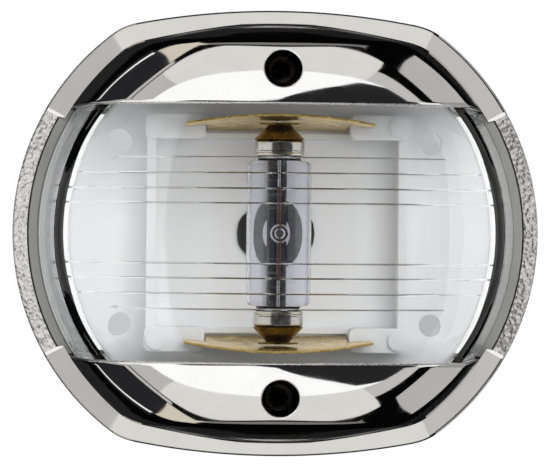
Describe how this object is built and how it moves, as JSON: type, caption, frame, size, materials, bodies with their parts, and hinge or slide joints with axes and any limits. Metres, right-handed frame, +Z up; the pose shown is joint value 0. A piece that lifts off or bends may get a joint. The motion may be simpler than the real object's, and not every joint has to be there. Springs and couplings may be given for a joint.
{
  "type": "navigation light",
  "caption": "Bulkhead navigation light: polished steel cover over a clear ribbed lens with a festoon bulb between brass contacts.",
  "frame": {"origin": "centre of the wall gasket's back face, on the wall", "axes": "+Z up, +X to the right seen from the front, -Y out of the wall along the light's forward direction"},
  "size_m": [0.093, 0.0417, 0.0788],
  "materials": {
    "stainless_steel": "mirror polished cast 316 stainless steel",
    "clear_polycarbonate": "clear polished",
    "white_nylon": "moulded, fine matt",
    "dark_rubber": "matt",
    "black_rubber": "matt",
    "black_plastic": "moulded, glossy",
    "black_steel": "black oxide",
    "sheet_brass": "rolled, slightly tarnished",
    "bulb_glass": "clear",
    "nickel_plate": "satin nickel plate",
    "tungsten": "drawn wire"
  },
  "bodies": {
    "base": {"base_tray": "white_nylon", "bulkhead_gasket": "dark_rubber", "lens_seal": "dark_rubber", "cable_grommet": "black_rubber", "wire_cover": "black_plastic", "threaded_insert_top": "sheet_brass", "threaded_insert_bottom": "sheet_brass"},
    "cover": {"cover_housing": "stainless_steel", "lens": "clear_polycarbonate", "screw_seal_top": "black_rubber", "screw_seal_bottom": "black_rubber"},
    "cover_screw_top": {"cover_screw_top": "black_steel"},
    "cover_screw_bottom": {"cover_screw_bottom": "black_steel"},
    "contact_top": {"contact_leaf_top": "sheet_brass", "contact_cup_top": "sheet_brass"},
    "contact_bottom": {"contact_leaf_bottom": "sheet_brass", "contact_cup_bottom": "sheet_brass"},
    "bulb": {"bulb_glass": "bulb_glass", "bulb_cap_top": "nickel_plate", "bulb_cap_bottom": "nickel_plate", "filament": "tungsten", "lead_wire_top": "nickel_plate", "lead_wire_bottom": "nickel_plate"}
  },
  "joints": [
    {"name": "cover_lift", "type": "slide", "parent": "base", "child": "cover", "axis": [0, -1, 0], "range_m": [0, 0.05]},
    {"name": "screw_top_turn", "type": "hinge", "parent": "cover", "child": "cover_screw_top", "pos_m": [0, -0.03, 0.0279], "axis": [0, -1, 0], "continuous": true},
    {"name": "screw_bottom_turn", "type": "hinge", "parent": "cover", "child": "cover_screw_bottom", "pos_m": [0, -0.03, -0.0279], "axis": [0, -1, 0], "continuous": true},
    {"name": "contact_top_flex", "type": "hinge", "parent": "base", "child": "contact_top", "pos_m": [0, -0.0043, 0.0179], "axis": [-1, 0, 0], "range_deg": [0, 4], "stiffness_Nm_per_rad": 1.2},
    {"name": "contact_bottom_flex", "type": "hinge", "parent": "base", "child": "contact_bottom", "pos_m": [0, -0.0043, -0.0179], "axis": [1, 0, 0], "range_deg": [0, 4], "stiffness_Nm_per_rad": 1.2},
    {"name": "bulb_turn", "type": "hinge", "parent": "base", "child": "bulb", "pos_m": [0, -0.021, 0], "axis": [0, 0, 1], "continuous": true}
  ]
}
